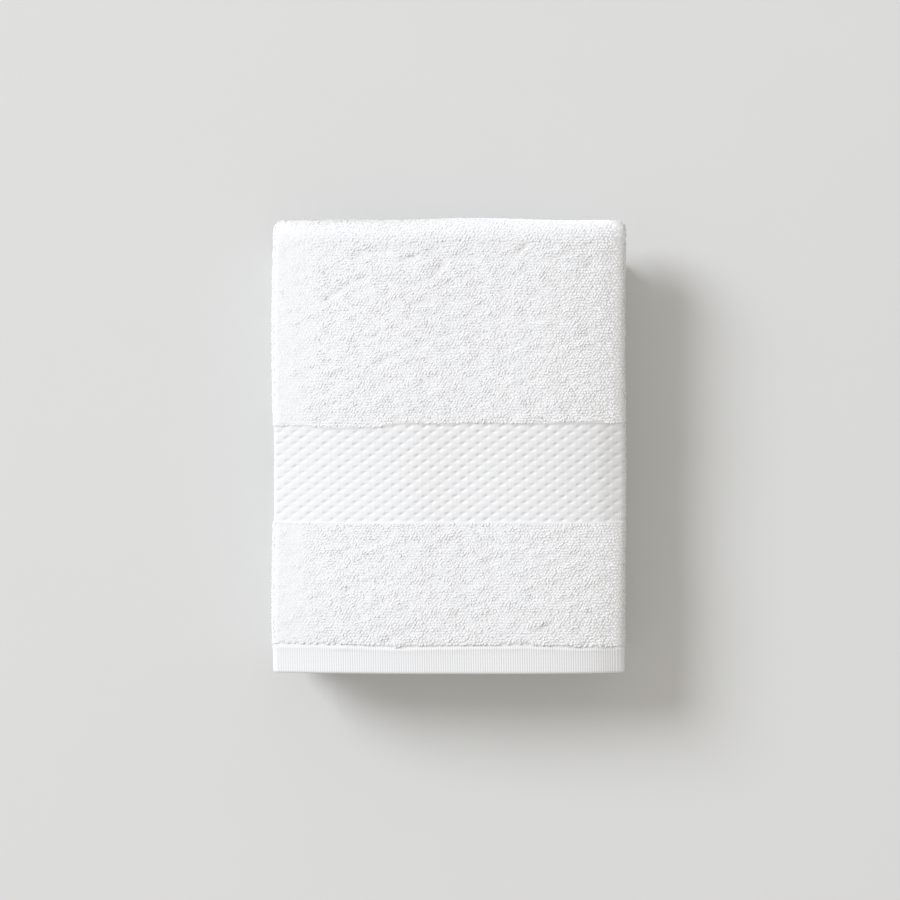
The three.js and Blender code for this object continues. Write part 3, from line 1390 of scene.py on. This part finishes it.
@dataclass
class LoopPile:
    """The loops on one side of the stack, joined into one piece."""

    fold: TowelFold
    cloth: TowelCloth
    side: Side
    loop: LoopShape = LoopShape()
    pitch_across: float = 1.55 * MM
    pitch_along: float = 1.35 * MM
    top_pitch: float = 0.88
    jitter: float = 0.24
    sink: float = 0.2 * MM
    softness: float = 0.82
    pressed_height: float = 0.5
    pressed_softness: float = 0.95
    lift_left: float = 2.0
    lift_right: float = 0.9
    grain: float = math.radians(28)
    most_lean: float = 0.45
    first_seed: int = 11
    samples: int = 600
    stitch_clearance: float = 0.8
    press_fade: float = 14 * MM
    press_right: float = 1.3
    press_left: float = 1.6
    press_left_most: float = 0.7
    press_level_gain: float = 2
    press_level_start: float = 0.4
    drift_seed: int = 40
    drift_scale: float = 11 * MM
    drift_turn: float = 0.3
    turn_spread: float = 0.5
    tuft_seed: int = 80
    tuft_scale: float = 4.5 * MM
    tuft_lean: float = 0.35
    lean_spread: float = 0.25
    tuft_height: float = 0.08
    height_spread: float = 0.12
    height_range: tuple[float, float] = (0.6, 1.4)
    span_range: tuple[float, float] = (0.85, 1.25)
    yarn_range: tuple[float, float] = (0.88, 1.15)
    slope_step: float = 0.2 * MM
    piece: bpy.types.Object | None = field(default=None)

    @property
    def seed(self) -> int:
        """Seed of this side's loops."""
        return self.first_seed + list(Side).index(self.side)

    def even_marks(self, patch: Patch, lengthwise: bool) -> Array:
        """Places spaced evenly over the folded face.

        Args:
            patch: The patch.
            lengthwise: Whether they run along the cloth, or else across it.

        Returns:
            Distances along or across the flat cloth.
        """
        samples = self.samples
        span = patch.along if lengthwise else patch.across
        other = patch.across if lengthwise else patch.along
        moving = np.linspace(*span, samples)
        still = np.full(samples, sum(other) / 2)
        face = np.full(samples, self.fold.pile / 2)
        way = (still, moving) if lengthwise else (moving, still)
        steps = np.linalg.norm(np.diff(self.fold.place(*way, face), axis=0), axis=1)
        travelled = np.concatenate([[0.0], np.cumsum(steps)])
        pitch = self.pitch_along if lengthwise else self.pitch_across
        pitch *= self.top_pitch if patch.on_top else 1.0
        count = max(2, round(travelled[-1] / pitch))
        return np.interp(travelled[-1] * (np.arange(count) + 0.5) / count, travelled, moving)

    def scatter(self, patch: Patch, draw: np.random.Generator) -> tuple[Array, Array]:
        """Spreads the roots of loops over a patch.

        Args:
            patch: The patch.
            draw: The seeded draw.

        Returns:
            Distances across and along the flat cloth.
        """
        columns = self.even_marks(patch, lengthwise=False)
        rows = self.even_marks(patch, lengthwise=True)
        column_gap = np.gradient(columns)
        row_gap = np.gradient(rows)
        across = np.tile(columns, (len(rows), 1))
        along = np.tile(rows[:, None], (1, len(columns)))
        half_drop = 0.5 * (np.arange(len(rows)) % 2)[:, None]
        shape = across.shape
        across = across + column_gap * (half_drop - 0.25 + self.jitter * draw.uniform(-1, 1, shape))
        along = along + row_gap[:, None] * self.jitter * draw.uniform(-1, 1, shape)
        return across.ravel(), along.ravel()

    def kept(self, across: Array, along: Array) -> Array:
        """Which roots lie on pile and not on a border, a hem or its stitch line.

        Args:
            across: Distances across the flat cloth.
            along: Distances along it.

        Returns:
            True for each root that stays.
        """
        from_end = self.fold.from_nearer_end(along)
        low, high = self.fold.border_span
        x, _ = self.fold.in_strip(across, np.zeros_like(across))
        on_border = (from_end > low + LOWER_EDGE.at(x)) & (from_end < high + BORDER_EDGE.at(x))
        stitch = self.fold.stitch_from_end + STITCH_LINE.at(x)
        on_hem = from_end < stitch + self.stitch_clearance * self.cloth.groove_width
        face = np.full_like(across, self.fold.pile / 2)
        on_floor = self.fold.place(across, along, face)[:, 2] < self.loop.height
        return ~(on_border | on_hem | on_floor)

    def build(self) -> bpy.types.Object:
        """Makes the loops of every patch of this side and joins them.

        Returns:
            The object.
        """
        draw = np.random.default_rng(self.seed)
        template, triangles = self.loop.template()
        copies = []
        faces = []
        for patch in patches(self.fold, self.side):
            across, along = self.scatter(patch, draw)
            stay = self.kept(across, along)
            points, out = self.stand(across[stay], along[stay], patch, template, draw)
            copies.append(points)
            faces.append(out)
        joined = np.concatenate(copies)
        tone = draw.uniform(0, 1, len(joined))
        mesh = joined_mesh(self.side.value, joined, triangles, tone)
        pressed = self.pressed(joined.mean(axis=1), np.concatenate(faces))
        share = self.softness + (self.pressed_softness - self.softness) * pressed
        count = joined.shape[1]
        soften(mesh, np.repeat(np.concatenate(faces), count, axis=0), np.repeat(share, count)[:, None])
        self.piece = add_piece(self.side.value, mesh)
        return self.piece

    def pressed(self, points: Array, out: Array) -> Array:
        """How far the pile is pressed smooth, from 0 to 1, which it is along the top's long edges.

        Args:
            points: Places in the stack, one row each.
            out: The direction out of the cloth at each.

        Returns:
            A share for each place.
        """
        x = points[:, 0]
        edge = self.fold.folded_width / 2
        right = np.clip((x - edge) / self.press_fade + self.press_right, 0, 1)
        left = self.press_left_most * np.clip((-x - edge) / self.press_fade + self.press_left, 0, 1)
        level = np.clip(self.press_level_gain * out[:, 2] - self.press_level_start, 0, 1)
        return np.maximum(right, left) * level

    def stand(
        self, across: Array, along: Array, patch: Patch, template: Array, draw: np.random.Generator
    ) -> tuple[Array, Array]:
        """Stands a loop on each root, turned and leaning as the pile lies there.

        Args:
            across: Distances of the roots across the flat cloth.
            along: Distances of the roots along it.
            patch: The patch that they are in.
            template: Points of one loop.
            draw: The seeded draw.

        Returns:
            Points of each loop, and the direction out of the cloth at each.
        """
        count = len(across)
        face = np.full(count, self.fold.pile / 2)
        if patch.on_top:
            face += pile_relief(self.fold, across, along)
        at = frames_at(self.fold, across, along, face - self.cloth.pile_root - self.sink)
        drift = SoftNoise(self.seed + self.drift_seed, self.drift_scale).at(across, along)
        tuft = SoftNoise(self.seed + self.tuft_seed, self.tuft_scale).at(across, along)
        turn = self.grain + self.drift_turn * drift + draw.normal(0, self.turn_spread, count)
        lean = self.tuft_lean * tuft + draw.normal(0, self.lean_spread, count)
        uneven = 1 + self.tuft_height * tuft + draw.normal(0, self.height_spread, count)
        tall = np.clip(uneven, *self.height_range)
        tall *= 1 - (1 - self.pressed_height) * self.pressed(at.point, at.out)
        wide = draw.uniform(*self.span_range, count)
        thick = draw.uniform(*self.yarn_range, count)
        span_way = np.cos(turn)[:, None] * at.across + np.sin(turn)[:, None] * at.along
        side_way = np.cos(turn)[:, None] * at.along - np.sin(turn)[:, None] * at.across
        a = template[None, :, 0] * wide[:, None]
        c = template[None, :, 2] * tall[:, None]
        shear = np.tan(np.clip(lean, -self.most_lean, self.most_lean))
        b = template[None, :, 1] * thick[:, None] + c * shear[:, None]
        points = (
            at.point[:, None]
            + a[..., None] * span_way[:, None]
            + b[..., None] * side_way[:, None]
            + c[..., None] * at.out[:, None]
        )
        lift = np.where(at.point[:, 0] < 0, self.lift_left, self.lift_right)
        faced = at.out.copy()
        faced[:, 2] += lift * self.pressed(at.point, at.out)
        if patch.on_top:
            faced += self.slopes(across, along, at)
        return points, unit(faced)

    def slopes(self, across: Array, along: Array, at: Frames) -> Array:
        """How the mounds and partings of the pile tilt its face.

        Args:
            across: Distances of the roots across the flat cloth.
            along: Distances of the roots along it.
            at: Their frames.

        Returns:
            What to add to the directions out of the cloth.
        """
        step = self.slope_step
        rises = []
        for aside, ahead in ((step, 0), (0, step)):
            low, high = (
                pile_relief(self.fold, across + way * aside, along + way * ahead) for way in (-1, 1)
            )
            rises.append((high - low) / (2 * step))
        return rises[0][:, None] * at.across - rises[1][:, None] * at.along

    def dress(self, yarn: bpy.types.Material) -> None:
        """Gives the loops their finish."""
        self.piece.data.materials.append(yarn)


@dataclass
class HemStitches:
    """The line of stitches that holds the turned hem down, at both ends of the cloth."""

    fold: TowelFold
    cloth: TowelCloth
    length: float = 2.6 * MM
    gap: float = 0.5 * MM
    thread: float = 0.42 * MM
    margin: float = 2 * MM
    sides: int = 6
    seed: int = 5
    piece: bpy.types.Object | None = field(default=None)

    def template(self) -> tuple[Array, Array]:
        """One stitch: a thread that dips into the cloth at both ends.

        Returns:
            Its points and its triangles.
        """
        stitch = bmesh.new()
        bmesh.ops.create_uvsphere(stitch, u_segments=self.sides, v_segments=self.sides, radius=0.5)
        bmesh.ops.rotate(
            stitch, verts=stitch.verts[:], cent=(0, 0, 0), matrix=Matrix.Rotation(math.pi / 2, 3, "Y")
        )
        bmesh.ops.scale(stitch, verts=stitch.verts[:], vec=(self.length, self.thread, self.thread))
        return closed_template(stitch)

    def build(self) -> bpy.types.Object:
        """Sews the stitches.

        Returns:
            The object.
        """
        template, triangles = self.template()
        count = int((self.fold.flat_width - 2 * self.margin) / (self.length + self.gap))
        across = self.margin + (np.arange(count) + 0.5) * (self.length + self.gap)
        x, _ = self.fold.in_strip(across, np.zeros_like(across))
        from_end = self.fold.stitch_from_end + STITCH_LINE.at(x)
        copies = []
        for along in (from_end, self.fold.flat_length - from_end):
            face = self.cloth.face_heights(across, along, looped=True)
            at = frames_at(self.fold, across, along, face)
            copies.append(
                at.point[:, None]
                + template[None, :, 0, None] * at.across[:, None]
                + template[None, :, 1, None] * at.along[:, None]
                + template[None, :, 2, None] * at.out[:, None]
            )
        joined = np.concatenate(copies)
        tone = np.random.default_rng(self.seed).uniform(0, 1, len(joined))
        self.piece = add_piece("hem_stitches", joined_mesh("hem_stitches", joined, triangles, tone))
        return self.piece

    def dress(self, thread: bpy.types.Material) -> None:
        """Gives the stitches their finish."""
        self.piece.data.materials.append(thread)


# Studio


@dataclass(frozen=True)
class Studio:
    """A plain floor, one large soft light, an even fill and a camera straight above."""

    fold: TowelFold
    frame_width: float = 385.4 * MM
    camera_height: float = 1.0
    sensor: float = 36.0
    towel_pixel: tuple[float, float] = (449.1, 445.75)
    floor_size: float = 12.0
    light_way: tuple[float, float, float] = (-47.0, 30.5, 38.0)
    light_distance: float = 7.0
    light_size: float = 3.36
    light_power: float = 438.0
    light_colour: tuple[float, float, float] = (0.891, 0.924, 1.0)
    fill_colour: tuple[float, float, float, float] = (1.0, 0.972, 0.91, 1)
    fill_strength: float = 0.606
    farthest: float = 100.0

    def lay_floor(self) -> None:
        """Lays the floor just under the towel."""
        mesh = bpy.data.meshes.new("floor")
        slab = bmesh.new()
        bmesh.ops.create_grid(slab, x_segments=1, y_segments=1, size=self.floor_size / 2)
        slab.to_mesh(mesh)
        slab.free()
        mesh.materials.append(PaleFloor().material())
        floor = bpy.data.objects.new("floor", mesh)
        bpy.context.scene.collection.objects.link(floor)

    def hang_light(self) -> None:
        """Hangs the soft light at the upper left, aimed at the towel."""
        lamp = bpy.data.lights.new("soft_light", "AREA")
        lamp.shape = "DISK"
        lamp.size = self.light_size
        lamp.energy = self.light_power
        lamp.color = self.light_colour
        way = Vector(self.light_way).normalized()
        hung = bpy.data.objects.new("soft_light", lamp)
        hung.location = way * self.light_distance
        hung.rotation_euler = way.to_track_quat("Z", "Y").to_euler()
        bpy.context.scene.collection.objects.link(hung)

    def fill(self) -> None:
        """Fills the room with even light and keeps colours as they are lit."""
        scene = bpy.context.scene
        world = bpy.data.worlds.new("studio")
        world.use_nodes = True
        background = world.node_tree.nodes["Background"]
        background.inputs["Color"].default_value = self.fill_colour
        background.inputs["Strength"].default_value = self.fill_strength
        scene.world = world
        scene.view_settings.view_transform = "Standard"

    def set_camera(self) -> None:
        """Sets the camera straight above, framed as in the photo."""
        lens = bpy.data.cameras.new("camera")
        lens.sensor_width = self.sensor
        lens.lens = self.sensor * self.camera_height / self.frame_width
        lens.clip_end = self.farthest
        eye = bpy.data.objects.new("camera", lens)
        pixel = self.frame_width / FRAME_PIXELS
        aside = (FRAME_PIXELS / 2 - self.towel_pixel[0]) * pixel
        ahead = (self.towel_pixel[1] - FRAME_PIXELS / 2) * pixel
        eye.location = (aside, ahead, self.fold.height + self.camera_height)
        bpy.context.scene.collection.objects.link(eye)
        bpy.context.scene.camera = eye

    def build(self) -> None:
        """Sets up the whole studio."""
        self.set_camera()
        self.lay_floor()
        self.hang_light()
        self.fill()


def report(piece: bpy.types.Object) -> None:
    """Logs a piece's name and its count of triangles."""
    triangles = sum(len(face.vertices) - 2 for face in piece.data.polygons)
    log.info("%s: %d triangles", piece.name, triangles)


def main() -> None:
    """Builds the studio, the cloth, its loops and its stitches, in that order."""
    fold = TowelFold()
    Studio(fold).build()
    cloth = TowelCloth(fold)
    sheet = cloth.build()
    cloth.dress()
    report(sheet)
    yarn = LoopYarn("loop_yarn").material()
    for side in Side:
        pile = LoopPile(fold, cloth, side)
        pile.build()
        pile.dress(yarn)
        report(pile.piece)
    stitches = HemStitches(fold, cloth)
    stitches.build()
    stitches.dress(LoopYarn("hem_thread").material())
    report(stitches.piece)
    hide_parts(CAD_NODE)
    fold.flat_width
    fold.flat_length
    log.info("flat cloth %.1f by %.1f mm", fold.flat_width / MM, fold.flat_length / MM)


if __name__ == "__main__":
    main()
